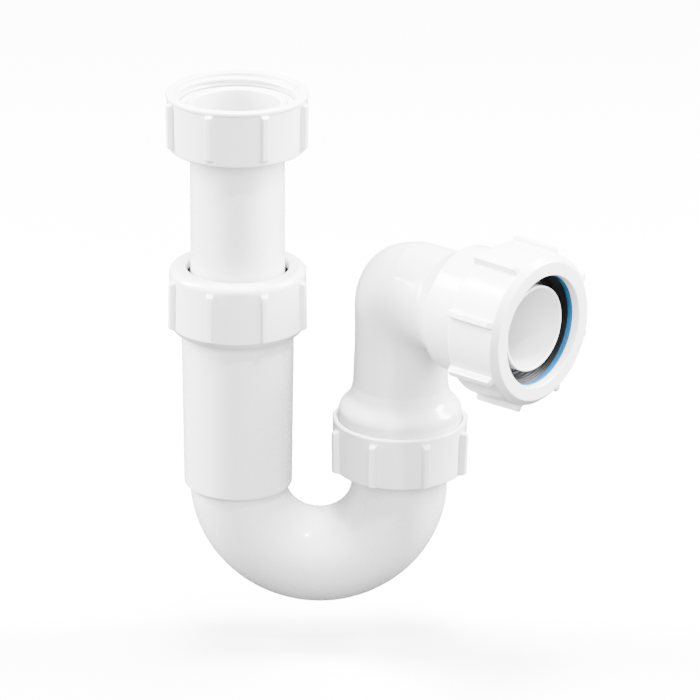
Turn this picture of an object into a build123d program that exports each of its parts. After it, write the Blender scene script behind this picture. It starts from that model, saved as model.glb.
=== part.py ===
from build123d import *
from math import cos, radians, sin, sqrt
import os

# Adjustable-inlet tubular P-trap for a 1 1/2 inch waste.
#
# An inlet tube hangs from a coupling nut and telescopes into a wide sleeve.
# A U-bend is welded into the sleeve's foot and ends in a flange.
# An elbow swivels on that flange under a second coupling nut and ends in a
# compression socket for the waste pipe.
#
# Frame: millimetres, +Z up. The origin is the centre of the inlet tube's rim,
# on the inlet leg's axis. The outlet leg stands at +X.

# Layout of the axes
LEG_SPACING = 63.6          # inlet leg's axis to outlet leg's axis
BEND_DROP = 155.9           # inlet tube's rim down to the bend's centre
OUTLET_RISE = 81.45         # bend's centre up to the outlet's axis
OUTLET_TURN = -40.0         # outlet's direction about its leg, degrees from +X

# Clearances
TURN_GAP = 0.35             # radial, between pieces that turn or slide on each other
FACE_GAP = 0.1              # along an axis, between faces that press on each other
GRIP_GAP = 0.05             # radial, where a seal or a weld holds a tube
THREAD_GAP = 0.3            # radial, between a thread's plain envelope and its nut
CUT_PAST = 1.0              # how far a cut runs past the face that it opens

# 1 1/2 inch pipe thread, drawn plain
THREAD_R = 23.9             # outside of a threaded end
THREAD_DEPTH = 1.5          # crests of the inlet nut's thread inside THREAD_R
THREAD_BEVEL = 0.6          # at the end of a threaded head

# Small edges
STEP_BEVEL = 0.3            # where a wall steps in or out
EDGE_ROUND = 0.5            # rims that a hand meets
MOULD_ROUND = 0.8           # softer edges of the larger mouldings

# Inlet tube and its washer
TUBE_R = 18.25
TUBE_WALL = 1.75
TUBE_LENGTH = 104.9
TUBE_LEAD_IN = 0.8          # bevel at the tube's lower end
FLANGE_GAP = 0.4            # radial, flange to the crests of the inlet nut's thread
FLANGE_THICKNESS = 2.5
WASHER_THICKNESS = 2.0
WASHER_GAP = 0.3            # radial, washer to the crests of the inlet nut's thread
COLLAR_STEP = 0.7           # how far the tube's mouth collar stands out of the tube
COLLAR_RISE = 0.5           # collar's height above the washer

# Ribs that every nut carries
RIB_COUNT = 8
RIB_ROOT_WIDTH = 4.3
RIB_TIP_WIDTH = 2.9
RIB_EDGE_R = 0.55
RIB_END_BEVEL = 0.8
RIB_SINK = 1.0              # how deep a rib is rooted in its nut
RIB_TOP_GAP = 2.3           # from a rib's end to the nut's mouth
FRONT = -90                 # direction of the nuts' front, degrees from +X
NUT_DRAFT = 0.4             # radius lost from a nut's mouth to its closed end

# Inlet nut
INLET_NUT_WALL = 3.1        # outside THREAD_R
INLET_NUT_RISE = 4.45       # inlet tube's rim up to the nut's mouth
INLET_NUT_HEIGHT = 22.05
INLET_FOOT_ROUND = 1.0
INLET_RIB_LOW = 2.1         # above the nut's foot
INLET_RIB_RISE = 2.0
INLET_RIM_STEP = 0.45       # how far the rim stands out of the nut
INLET_RIM_HEIGHT = 1.7
INLET_MOUTH_STEP = 0.1      # mouth's radius over THREAD_R
INLET_MOUTH_DEPTH = 1.65
INLET_CHAMBER_STEP = 0.5    # chamber's radius over the thread's crests
INLET_LEDGE = 3.0
INLET_NUT_TURN = 2.0        # where its ribs have stopped, degrees

# Sleeve
SLEEVE_TOP_R = 21.95        # just below the thread
SLEEVE_FOOT_R = 21.3
SLEEVE_BORE_R = 19.1
SLEEVE_OVERHANG = 0.75      # how far the foot reaches below the bend's centre
SLEEVE_FOOT_ROUND = 1.8
SLEEVE_THREAD_LOW = 68.0    # heights above the bend's centre
SLEEVE_TOP = 82.0
SLEEVE_SEAT_DEPTH = 6.5     # depth of the conical seat in the mouth
SLEEVE_LAND = 1.5           # from the seat's edge out to THREAD_R

# Compression joint on the inlet tube
CONE_SEAL_RISE = 2.2        # how far the seal stands above the sleeve
CONE_SEAL_TOE = 0.5         # straight end of the cone below the seat
SLIP_RING_THICKNESS = 2.0
SLIP_RING_OUTER_GAP = 0.4
COMPRESSION_NUT_WALL = 2.7  # outside the bore over the thread
COMPRESSION_NUT_HEIGHT = 25.2
COMPRESSION_RIB_LOW = 3.0
COMPRESSION_RIB_RISE = 1.8
COMPRESSION_SKIRT_HEIGHT = 2.4
COMPRESSION_SKIRT_STEP = 1.6
COMPRESSION_LIP = 3.5
COMPRESSION_HOLE_R = 19.92
COMPRESSION_SHOULDER_R = 2.6
COMPRESSION_NUT_TURN = 2.0

# U-bend
BEND_R = 19.05
BEND_WALL = 1.9
BEND_SPIGOT = 10.0          # length inside the sleeve above the bend's centre
BEND_FLANGE_STEP = 0.4      # flange's radius inside THREAD_R

# Swivel joint
SWIVEL_NUT_LOW = 7.0        # above the bend's centre
SWIVEL_NUT_HEIGHT = 20.9
SWIVEL_NUT_WALL = 2.1       # outside the bore over the thread
SWIVEL_RIB_LOW = 0.5
SWIVEL_RIB_RISE = 2.3
SWIVEL_LEDGE = 3.2
SWIVEL_MOUTH_STEP = 0.5     # mouth's radius over the bore
SWIVEL_MOUTH_DEPTH = 2.5
SWIVEL_RIM_ROUND = 1.0
SWIVEL_SEAL_THICKNESS = 2.0

# Outlet elbow
BELL_STEP = 0.3             # bell's radius over THREAD_R
BELL_CLEARANCE = 0.5        # bell's rim above the floor of the nut's mouth
BELL_SHOULDER_RISE = 6.9    # heights above the rim's lower edge
BELL_SHOULDER_ROUND = 5.0
BELL_NECK_R = 19.9
BELL_NECK_RISE = 11.3
BELL_NECK_ROUND = 6.0
BELL_TOP_RISE = 16.1
BELL_TOP_ROUND = 4.0
ELBOW_FOOT_R = 18.65
ELBOW_LEG_R = 18.1
ELBOW_BORE_R = 15.7
ELBOW_TURN_R = 5.5          # radius of the elbow's centre line
ELBOW_TURN_STEPS = 8
ELBOW_CROTCH_ROUND = 3.5
ARM_R = 20.0
ARM_END = 24.5              # distances along the outlet's axis from the leg's axis
FLARE_ROUND = 5.0           # where the arm starts to flare
FLARE_END = 30.1
SOCKET_START = 31.9
SOCKET_FLOOR = 38.0
SOCKET_MOUTH = 61.0
SOCKET_WALL = 2.95
SOCKET_SHOULDER = 2.25      # from the flare's end out to the socket
OUTLET_THREAD_LENGTH = 12.5
STUB_WALL = 1.0
STUB_END = 65.65

# Waste pipe at the outlet, and the radial room that each piece leaves round it
PIPE_R = 21.5
PIPE_GAP_IN_RING = 0.05
PIPE_GAP_IN_NUT = 0.3
PIPE_GAP_IN_SOCKET = 0.4

# Compression joint on the outlet
OUTLET_SEAT_DEPTH = 4.0
OUTLET_SEAT_WIDTH = 2.8     # radial width of the conical seat
OUTLET_LAND = 1.3           # flat end of the socket outside the seat
OUTLET_SEAL_RISE = 3.5
OUTLET_LIP_REACH = 2.6      # how far the seal's lip reaches into the pipe's place
OUTLET_LIP_THICKNESS = 0.9
OUTLET_BEAD_DEPTH = 1.4     # from the seal's end to the tip of its outer bead
OUTLET_BEAD_WIDTH = 1.5
OUTLET_BEAD_RISE = 0.6
OUTLET_NUT_WALL = 2.9
OUTLET_NUT_HEIGHT = 23.15
OUTLET_RIB_RISE = 2.6
OUTLET_LIP = 3.4
OUTLET_FACE_STEP = 2.8      # radial width of the bevel round the nut's face
OUTLET_FACE_BEVEL = 2.3     # its depth
OUTLET_BACK_STEP = 1.0
OUTLET_BACK_BEVEL = 1.2
OUTLET_NUT_TURN = 26.0


def turned(*outline):
    """Solid turned about Z from (radius, height) corners.

    A third number in a corner is the radius that rounds it.
    """
    sketch = make_face(Polyline(*[corner[:2] for corner in outline], close=True))
    for corner in outline:
        if len(corner) == 3:
            vertex = sketch.vertices().sort_by_distance(corner[:2])[0]
            sketch = fillet(vertex, corner[2])
    return revolve(Plane.XZ * sketch, Axis.Z)


def rib_ring(body_r, rise, low, high, turn):
    """Ribs round a nut that stands on its closed end, narrower there by the draft."""
    root_r = body_r - NUT_DRAFT - RIB_SINK
    tip_r = body_r + rise
    envelope = turned(
        (root_r, low),
        (tip_r - NUT_DRAFT - RIB_END_BEVEL, low),
        (tip_r - NUT_DRAFT, low + RIB_END_BEVEL),
        (tip_r, high - RIB_END_BEVEL),
        (tip_r - RIB_END_BEVEL, high),
        (root_r, high),
    )
    section = make_face(
        Polyline(
            (root_r, -RIB_ROOT_WIDTH / 2),
            (tip_r, -RIB_TIP_WIDTH / 2),
            (tip_r, RIB_TIP_WIDTH / 2),
            (root_r, RIB_ROOT_WIDTH / 2),
            close=True,
        )
    )
    section = fillet(section.vertices().group_by(Axis.X)[-1], RIB_EDGE_R)
    rib = (Pos(0, 0, low) * extrude(section, high - low)) & envelope
    step = 360 / RIB_COUNT
    return [Rot(0, 0, turn + step * index) * rib for index in range(RIB_COUNT)]


def at_bend(piece):
    """Move a piece whose heights count from the bend's centre onto the inlet leg."""
    return Pos(0, 0, -BEND_DROP) * piece


def at_swivel(piece):
    """Move a piece whose heights count from the bend's centre onto the outlet leg."""
    return Pos(LEG_SPACING, 0, -BEND_DROP) * piece


def at_outlet(piece):
    """Lay a piece that stands on Z along the outlet's axis, its local X pointing up."""
    along = Plane(origin=(0, 0, 0), x_dir=(0, 0, 1), z_dir=(1, 0, 0))
    return at_swivel(Pos(0, 0, OUTLET_RISE) * Rot(0, 0, OUTLET_TURN) * (along * piece))


# Radii and levels that several pieces share
HALF_STEP = 180 / RIB_COUNT
THREAD_CREST_R = THREAD_R - THREAD_DEPTH
FLANGE_R = THREAD_CREST_R - FLANGE_GAP
INLET_CHAMBER_R = THREAD_CREST_R + INLET_CHAMBER_STEP
INLET_MOUTH_R = THREAD_R + INLET_MOUTH_STEP
INLET_NUT_R = THREAD_R + INLET_NUT_WALL
INLET_RIM_R = INLET_NUT_R + INLET_RIM_STEP
SLEEVE_SEAT_R = THREAD_R - SLEEVE_LAND
NUT_BORE_R = THREAD_R + THREAD_GAP
COMPRESSION_NUT_R = NUT_BORE_R + COMPRESSION_NUT_WALL
SWIVEL_NUT_R = NUT_BORE_R + SWIVEL_NUT_WALL
SWIVEL_MOUTH_R = NUT_BORE_R + SWIVEL_MOUTH_STEP
BEND_FLANGE_R = THREAD_R - BEND_FLANGE_STEP
BELL_R = THREAD_R + BELL_STEP
PIPE_SOCKET_R = PIPE_R + PIPE_GAP_IN_SOCKET
OUTLET_SEAT_R = PIPE_SOCKET_R + OUTLET_SEAT_WIDTH
OUTLET_THREAD_R = OUTLET_SEAT_R + OUTLET_LAND + THREAD_BEVEL
OUTLET_BORE_R = OUTLET_THREAD_R + THREAD_GAP
OUTLET_HOLE_R = PIPE_R + PIPE_GAP_IN_NUT
STUB_R = ELBOW_BORE_R + STUB_WALL
WASHER_TOP = -COLLAR_RISE
FLANGE_TOP = WASHER_TOP - WASHER_THICKNESS
COLLAR_R = TUBE_R + COLLAR_STEP
INLET_NUT_LOW = INLET_NUT_RISE - INLET_NUT_HEIGHT
SEAL_TOP = SLEEVE_TOP + CONE_SEAL_RISE
SLIP_RING_LOW = SEAL_TOP + FACE_GAP
COMPRESSION_NUT_TOP = SLIP_RING_LOW + SLIP_RING_THICKNESS + FACE_GAP + COMPRESSION_LIP
BEND_FLANGE_LOW = SWIVEL_NUT_LOW + SWIVEL_LEDGE + FACE_GAP
BEND_FLANGE_TOP = BEND_FLANGE_LOW + FLANGE_THICKNESS
SWIVEL_SEAL_TOP = BEND_FLANGE_TOP + SWIVEL_SEAL_THICKNESS
ELBOW_FOOT = SWIVEL_SEAL_TOP + FACE_GAP
SWIVEL_NUT_TOP = SWIVEL_NUT_LOW + SWIVEL_NUT_HEIGHT
BELL_LOW = SWIVEL_NUT_TOP - SWIVEL_MOUTH_DEPTH + BELL_CLEARANCE
OUTLET_SEAL_END = SOCKET_MOUTH + OUTLET_SEAL_RISE
OUTLET_RING_START = OUTLET_SEAL_END + FACE_GAP
OUTLET_NUT_FACE = OUTLET_RING_START + SLIP_RING_THICKNESS + FACE_GAP + OUTLET_LIP


def inlet_nut():
    """Coupling nut: threaded mouth up, chamber for the flange, ledge at its foot."""
    height = INLET_NUT_HEIGHT
    thread_top = height - INLET_MOUTH_DEPTH
    thread_low = height - INLET_NUT_RISE
    rim_low = height - INLET_RIM_HEIGHT
    foot_r = INLET_NUT_R - NUT_DRAFT
    hole_r = TUBE_R + TURN_GAP
    body = turned(
        (hole_r, 0),
        (foot_r, 0, INLET_FOOT_ROUND),
        (INLET_NUT_R, rim_low),
        (INLET_RIM_R, rim_low + STEP_BEVEL),
        (INLET_RIM_R, height, EDGE_ROUND),
        (INLET_MOUTH_R, height),
        (INLET_MOUTH_R, thread_top + STEP_BEVEL),
        (THREAD_CREST_R, thread_top),
        (THREAD_CREST_R, thread_low),
        (INLET_CHAMBER_R, thread_low - STEP_BEVEL),
        (INLET_CHAMBER_R, INLET_LEDGE),
        (hole_r, INLET_LEDGE),
    )
    first_rib = FRONT + HALF_STEP + INLET_NUT_TURN
    ribs = rib_ring(INLET_NUT_R, INLET_RIB_RISE, INLET_RIB_LOW, rim_low, first_rib)
    return Pos(0, 0, INLET_NUT_LOW) * (body + ribs)


def inlet_washer():
    """Flat washer round the mouth collar, on top of the tube's flange."""
    outer_r = THREAD_CREST_R - WASHER_GAP
    inner_r = COLLAR_R + TURN_GAP
    return turned(
        (inner_r, FLANGE_TOP), (outer_r, FLANGE_TOP), (outer_r, WASHER_TOP), (inner_r, WASHER_TOP)
    )


def inlet_tube():
    """Straight tube with a flange and a raised collar at its mouth."""
    bore_r = TUBE_R - TUBE_WALL
    flange_low = FLANGE_TOP - FLANGE_THICKNESS
    lead_in = TUBE_LEAD_IN
    return turned(
        (bore_r, -TUBE_LENGTH),
        (TUBE_R - lead_in, -TUBE_LENGTH),
        (TUBE_R, -TUBE_LENGTH + lead_in),
        (TUBE_R, flange_low, MOULD_ROUND),
        (FLANGE_R, flange_low),
        (FLANGE_R, FLANGE_TOP - FACE_GAP),
        (COLLAR_R, FLANGE_TOP - FACE_GAP),
        (COLLAR_R, 0, EDGE_ROUND),
        (bore_r, 0),
    )


def inlet_sleeve():
    """Wide tube with a threaded head, a conical seal seat and a stepped foot."""
    foot = -SLEEVE_OVERHANG
    seat_low = SLEEVE_TOP - SLEEVE_SEAT_DEPTH
    thread_step = THREAD_R - SLEEVE_TOP_R
    return at_bend(
        turned(
            (SLEEVE_BORE_R, foot),
            (SLEEVE_FOOT_R, foot, SLEEVE_FOOT_ROUND),
            (SLEEVE_TOP_R, SLEEVE_THREAD_LOW - thread_step),
            (THREAD_R, SLEEVE_THREAD_LOW),
            (THREAD_R, SLEEVE_TOP - THREAD_BEVEL),
            (THREAD_R - THREAD_BEVEL, SLEEVE_TOP),
            (SLEEVE_SEAT_R, SLEEVE_TOP),
            (SLEEVE_BORE_R, seat_low),
        )
    )


def compression_seal():
    """Rubber ring that grips the tube, with a cone that fits the sleeve's mouth."""
    seat_low = SLEEVE_TOP - SLEEVE_SEAT_DEPTH
    cone_r = SLEEVE_SEAT_R - GRIP_GAP * 2
    toe_r = SLEEVE_BORE_R - GRIP_GAP * 2
    grip_r = TUBE_R + GRIP_GAP
    return at_bend(
        turned(
            (grip_r, seat_low - CONE_SEAL_TOE),
            (toe_r, seat_low - CONE_SEAL_TOE),
            (toe_r, seat_low),
            (cone_r, SLEEVE_TOP),
            (cone_r, SEAL_TOP),
            (grip_r, SEAL_TOP),
        )
    )


def compression_slip_ring():
    """Flat plastic ring that lets the nut turn without dragging the seal."""
    outer_r = NUT_BORE_R - SLIP_RING_OUTER_GAP
    inner_r = TUBE_R + TURN_GAP
    top = SLIP_RING_LOW + SLIP_RING_THICKNESS
    return at_bend(
        turned((inner_r, SLIP_RING_LOW), (outer_r, SLIP_RING_LOW), (outer_r, top), (inner_r, top))
    )


def compression_nut():
    """Nut with its lip on top and a rounded shoulder, drawn lip down and turned over."""
    height = COMPRESSION_NUT_HEIGHT
    closed_r = COMPRESSION_NUT_R - NUT_DRAFT
    body = turned(
        (COMPRESSION_HOLE_R, 0, EDGE_ROUND),
        (closed_r, 0, COMPRESSION_SHOULDER_R),
        (COMPRESSION_NUT_R, height - COMPRESSION_SKIRT_HEIGHT),
        (COMPRESSION_NUT_R - COMPRESSION_SKIRT_STEP, height),
        (NUT_BORE_R, height),
        (NUT_BORE_R, COMPRESSION_LIP),
        (COMPRESSION_HOLE_R, COMPRESSION_LIP),
    )
    first_rib = -FRONT + HALF_STEP - COMPRESSION_NUT_TURN
    high = height - RIB_TOP_GAP
    ribs = rib_ring(COMPRESSION_NUT_R, COMPRESSION_RIB_RISE, COMPRESSION_RIB_LOW, high, first_rib)
    return at_bend(Pos(0, 0, COMPRESSION_NUT_TOP) * Rot(180, 0, 0) * (body + ribs))


def bent_rod(radius, low, high):
    """Round rod through the U: down the inlet side, round the bend, up to the outlet."""
    reach = LEG_SPACING / 2
    half_ring = revolve(Pos(-reach, 0) * Circle(radius), Axis((0, 0, 0), (0, -1, 0)), 180)
    inlet_end = Pos(-reach, 0, 0) * extrude(Circle(radius), low)
    outlet_end = Pos(reach, 0, 0) * extrude(Circle(radius), high)
    return half_ring + inlet_end + outlet_end


def u_bend():
    """Half ring of tube: a spigot in the sleeve, a flange under the swivel seal."""
    outside = bent_rod(BEND_R, BEND_SPIGOT, BEND_FLANGE_TOP)
    flange = turned(
        (0, BEND_FLANGE_LOW),
        (BEND_FLANGE_R, BEND_FLANGE_LOW),
        (BEND_FLANGE_R, BEND_FLANGE_TOP),
        (0, BEND_FLANGE_TOP),
    )
    waterway = bent_rod(BEND_R - BEND_WALL, BEND_SPIGOT + CUT_PAST, BEND_FLANGE_TOP + CUT_PAST)
    solid = outside + Pos(LEG_SPACING / 2, 0, 0) * flange - waterway
    return Pos(LEG_SPACING / 2, 0, -BEND_DROP) * solid


def swivel_seal():
    """Flat rubber ring between the bend's flange and the elbow's foot."""
    inner_r = BEND_R - BEND_WALL
    return at_swivel(
        turned(
            (inner_r, BEND_FLANGE_TOP),
            (BEND_FLANGE_R, BEND_FLANGE_TOP),
            (BEND_FLANGE_R, SWIVEL_SEAL_TOP),
            (inner_r, SWIVEL_SEAL_TOP),
        )
    )


def swivel_nut():
    """Coupling nut: ledge under the bend's flange, mouth round the elbow's bell."""
    height = SWIVEL_NUT_HEIGHT
    hole_r = BEND_R + TURN_GAP
    mouth_low = height - SWIVEL_MOUTH_DEPTH
    body = turned(
        (hole_r, 0),
        (SWIVEL_NUT_R - NUT_DRAFT, 0, EDGE_ROUND),
        (SWIVEL_NUT_R, height, SWIVEL_RIM_ROUND),
        (SWIVEL_MOUTH_R, height),
        (SWIVEL_MOUTH_R, mouth_low + STEP_BEVEL),
        (NUT_BORE_R, mouth_low),
        (NUT_BORE_R, SWIVEL_LEDGE),
        (hole_r, SWIVEL_LEDGE),
    )
    high = height - RIB_TOP_GAP
    ribs = rib_ring(SWIVEL_NUT_R, SWIVEL_RIB_RISE, SWIVEL_RIB_LOW, high, FRONT + HALF_STEP)
    return at_swivel(Pos(0, 0, SWIVEL_NUT_LOW) * (body + ribs))


def turn_reach(angle, side_r):
    """Distance from the centre of the crotch's round to the outside of the turn."""
    across, up = -cos(radians(angle)), sin(radians(angle))
    crotch_x = ELBOW_LEG_R + ELBOW_CROTCH_ROUND
    crotch_z = -(ARM_R + ELBOW_CROTCH_ROUND)
    to_leg_side = (crotch_x + ELBOW_LEG_R) / max(-across, 1e-9)
    to_arm_top = (ARM_R - crotch_z) / max(up, 1e-9)
    if crotch_z + to_leg_side * up <= -ELBOW_TURN_R:
        return to_leg_side
    if crotch_x + to_arm_top * across >= ELBOW_TURN_R:
        return to_arm_top
    from_pivot_x, from_pivot_z = crotch_x - ELBOW_TURN_R, crotch_z + ELBOW_TURN_R
    along = from_pivot_x * across + from_pivot_z * up
    apart = from_pivot_x**2 + from_pivot_z**2 - (ELBOW_TURN_R + side_r) ** 2
    return sqrt(along**2 - apart) - along


def turn_outside():
    """Outside of the turn: ovals that swing round the crotch and widen to the arm."""
    crotch = (ELBOW_LEG_R + ELBOW_CROTCH_ROUND, 0, -(ARM_R + ELBOW_CROTCH_ROUND))
    ovals = []
    for step in range(ELBOW_TURN_STEPS + 1):
        share = step / ELBOW_TURN_STEPS
        side_r = ELBOW_LEG_R + (ARM_R - ELBOW_LEG_R) * share**2
        reach = turn_reach(90 * share, side_r)
        half = (reach - ELBOW_CROTCH_ROUND) / 2
        outward = Rot(0, 90 * share, 0) * Plane.XY
        plane = Plane(origin=crotch, x_dir=-outward.x_dir, z_dir=outward.z_dir)
        ovals.append(plane * Pos(ELBOW_CROTCH_ROUND + half, 0) * Ellipse(half, side_r))
    return loft(ovals)


def turn_bore():
    """Waterway of the turn, swept round a pivot inside the tube."""
    disc = Pos(-ELBOW_TURN_R, 0) * Circle(ELBOW_BORE_R)
    beyond = Pos(ELBOW_BORE_R, 0) * Rectangle(2 * ELBOW_BORE_R, 2 * ELBOW_BORE_R)
    quarter = revolve(disc - beyond, Axis((0, 0, 0), (0, 1, 0)), 90)
    return Pos(ELBOW_TURN_R, 0, -ELBOW_TURN_R) * quarter


def outlet_elbow():
    """Elbow: threaded foot, flared bell, close turn, stepped socket and inner stub."""
    along = Plane(origin=(0, 0, 0), x_dir=(0, 0, 1), z_dir=(1, 0, 0))
    turn_low = -(ARM_R + ELBOW_CROTCH_ROUND)
    arm_start = ELBOW_LEG_R + ELBOW_CROTCH_ROUND
    bell_low = BELL_LOW - OUTLET_RISE
    foot = ELBOW_FOOT - OUTLET_RISE
    thread_start = SOCKET_MOUTH - OUTLET_THREAD_LENGTH
    socket_r = PIPE_SOCKET_R + SOCKET_WALL
    leg = turned(
        (0, foot),
        (THREAD_R - THREAD_BEVEL, foot),
        (THREAD_R, foot + THREAD_BEVEL),
        (THREAD_R, bell_low),
        (BELL_R, bell_low),
        (BELL_R, bell_low + BELL_SHOULDER_RISE, BELL_SHOULDER_ROUND),
        (BELL_NECK_R, bell_low + BELL_NECK_RISE, BELL_NECK_ROUND),
        (ELBOW_FOOT_R, bell_low + BELL_TOP_RISE, BELL_TOP_ROUND),
        (ELBOW_LEG_R, turn_low),
        (0, turn_low),
    )
    arm = turned(
        (0, arm_start),
        (ARM_R, arm_start),
        (ARM_R, ARM_END, FLARE_ROUND),
        (socket_r - SOCKET_SHOULDER, FLARE_END),
        (socket_r, SOCKET_START, MOULD_ROUND),
        (socket_r, thread_start),
        (OUTLET_THREAD_R, thread_start + THREAD_BEVEL),
        (OUTLET_THREAD_R, SOCKET_MOUTH - THREAD_BEVEL),
        (OUTLET_THREAD_R - THREAD_BEVEL, SOCKET_MOUTH),
        (0, SOCKET_MOUTH),
    )
    socket = turned(
        (STUB_R, SOCKET_FLOOR),
        (PIPE_SOCKET_R, SOCKET_FLOOR),
        (PIPE_SOCKET_R, SOCKET_MOUTH - OUTLET_SEAT_DEPTH),
        (OUTLET_SEAT_R, SOCKET_MOUTH),
        (OUTLET_SEAT_R, SOCKET_MOUTH + CUT_PAST),
        (STUB_R, SOCKET_MOUTH + CUT_PAST),
    )
    stub = turned((0, SOCKET_FLOOR), (STUB_R, SOCKET_FLOOR), (STUB_R, STUB_END), (0, STUB_END))
    arm_bore = turned(
        (0, ELBOW_TURN_R),
        (ELBOW_BORE_R, ELBOW_TURN_R),
        (ELBOW_BORE_R, STUB_END + CUT_PAST),
        (0, STUB_END + CUT_PAST),
    )
    leg_bore = turned(
        (0, foot - CUT_PAST),
        (ELBOW_BORE_R, foot - CUT_PAST),
        (ELBOW_BORE_R, -ELBOW_TURN_R),
        (0, -ELBOW_TURN_R),
    )
    outside = leg + turn_outside() + along * arm
    body = outside - along * socket + along * stub
    solid = body - leg_bore - turn_bore() - along * arm_bore
    return at_swivel(Pos(0, 0, OUTLET_RISE) * Rot(0, 0, OUTLET_TURN) * solid)


def outlet_seal():
    """Lipped rubber ring seated in the socket's mouth, its inner lip reaching inwards."""
    seat_low = SOCKET_MOUTH - OUTLET_SEAT_DEPTH
    slack = GRIP_GAP * 2
    lip_r = PIPE_R - OUTLET_LIP_REACH
    lip_top = seat_low + OUTLET_LIP_THICKNESS * 2 / 3
    bead_low = OUTLET_SEAL_END - OUTLET_BEAD_DEPTH
    bead_r = OUTLET_HOLE_R - OUTLET_BEAD_RISE
    return at_outlet(
        turned(
            (PIPE_SOCKET_R - slack, seat_low),
            (OUTLET_SEAT_R - slack, SOCKET_MOUTH),
            (OUTLET_SEAT_R - slack, OUTLET_SEAL_END),
            (OUTLET_HOLE_R, OUTLET_SEAL_END),
            (bead_r - OUTLET_BEAD_RISE, bead_low, STEP_BEVEL),
            (bead_r, bead_low - OUTLET_BEAD_WIDTH),
            (lip_r, lip_top),
            (lip_r + OUTLET_LIP_THICKNESS / 2, lip_top - OUTLET_LIP_THICKNESS),
            (PIPE_SOCKET_R - OUTLET_LIP_THICKNESS, lip_top),
        )
    )


def outlet_slip_ring():
    """Flat plastic ring between the outlet nut's lip and the rubber."""
    outer_r = OUTLET_BORE_R - SLIP_RING_OUTER_GAP
    inner_r = PIPE_R + PIPE_GAP_IN_RING
    end = OUTLET_RING_START + SLIP_RING_THICKNESS
    return at_outlet(
        turned((inner_r, OUTLET_RING_START), (outer_r, OUTLET_RING_START), (outer_r, end), (inner_r, end))
    )


def outlet_nut():
    """Large nut whose lip faces out, drawn lip down and turned over."""
    height = OUTLET_NUT_HEIGHT
    nut_r = OUTLET_BORE_R + OUTLET_NUT_WALL
    body = turned(
        (OUTLET_HOLE_R, 0, EDGE_ROUND),
        (nut_r - OUTLET_FACE_STEP, 0, MOULD_ROUND),
        (nut_r - NUT_DRAFT, OUTLET_FACE_BEVEL, MOULD_ROUND),
        (nut_r, height - OUTLET_BACK_BEVEL),
        (nut_r - OUTLET_BACK_STEP, height),
        (OUTLET_BORE_R, height),
        (OUTLET_BORE_R, OUTLET_LIP),
        (OUTLET_HOLE_R, OUTLET_LIP),
    )
    ribs = rib_ring(nut_r, OUTLET_RIB_RISE, OUTLET_FACE_BEVEL, height, -OUTLET_NUT_TURN)
    return at_outlet(Pos(0, 0, OUTLET_NUT_FACE) * Rot(180, 0, 0) * (body + ribs))


PIECES = {
    "inlet_nut": inlet_nut,
    "inlet_washer": inlet_washer,
    "inlet_tube": inlet_tube,
    "inlet_sleeve": inlet_sleeve,
    "compression_seal": compression_seal,
    "compression_slip_ring": compression_slip_ring,
    "compression_nut": compression_nut,
    "u_bend": u_bend,
    "swivel_seal": swivel_seal,
    "swivel_nut": swivel_nut,
    "outlet_elbow": outlet_elbow,
    "outlet_seal": outlet_seal,
    "outlet_slip_ring": outlet_slip_ring,
    "outlet_nut": outlet_nut,
}

os.makedirs("parts", exist_ok=True)
for name, build in PIECES.items():
    export_step(build(), f"parts/{name}.step")
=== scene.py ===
"""Looks of a white tubular P-trap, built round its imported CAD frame.

Every visible moulding is rebuilt with soft edges from the sizes below, in
millimetres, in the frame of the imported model: the origin is the centre of the
inlet tube's rim, +Z is up and the outlet leg stands at +X.
"""

import logging
import math
from dataclasses import dataclass, field
from enum import Enum
from typing import Iterable, Sequence

import bpy
from mathutils import Matrix, Vector


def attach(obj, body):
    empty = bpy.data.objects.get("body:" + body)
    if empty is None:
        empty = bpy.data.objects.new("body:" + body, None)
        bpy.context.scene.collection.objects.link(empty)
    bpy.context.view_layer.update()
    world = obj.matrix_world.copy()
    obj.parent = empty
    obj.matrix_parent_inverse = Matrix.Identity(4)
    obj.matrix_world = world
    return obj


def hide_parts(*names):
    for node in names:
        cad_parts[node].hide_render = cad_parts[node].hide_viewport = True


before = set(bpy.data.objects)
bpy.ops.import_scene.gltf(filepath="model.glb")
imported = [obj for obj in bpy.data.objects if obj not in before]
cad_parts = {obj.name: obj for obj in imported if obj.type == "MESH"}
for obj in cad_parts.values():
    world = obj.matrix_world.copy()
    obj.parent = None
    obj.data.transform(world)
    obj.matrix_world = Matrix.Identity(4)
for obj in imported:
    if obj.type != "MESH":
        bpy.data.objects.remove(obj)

LOG = logging.getLogger("p_trap")

MM = 0.001

LEG_SPACING = 63.6
BEND_CENTRE_Z = -155.9
OUTLET_Z = BEND_CENTRE_Z + 81.45
OUTLET_TURN = math.radians(-40.0)
THREAD_PITCH = 2.309
THREAD_FLANK = (0.72, 0.22)
HALF_RIB_STEP = 22.5

PLASTIC_IOR = 1.49
COAT_ROUGHNESS = 0.1
MILK_TINT = (1.0, 0.95, 0.9)
MILK_REACH = 1.5
CLOUD_SIZE = 26.0
GLOSS_SWING = 0.12

WASHER_SIDES = 128
TUBE_SIDES = 160
BEND_SIDES = 128
OUTLET_SIDES = 144
FLANK_STEPS = 7
GAP_STEPS = 6

Point = tuple[float, float]
Ring = list[Vector]


class Slot(Enum):
    """The record's material slots."""

    WHITE = "white_plastic"
    WASHER = "washer_plastic"
    BLUE = "blue_plastic"
    RUBBER = "black_rubber"


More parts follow.
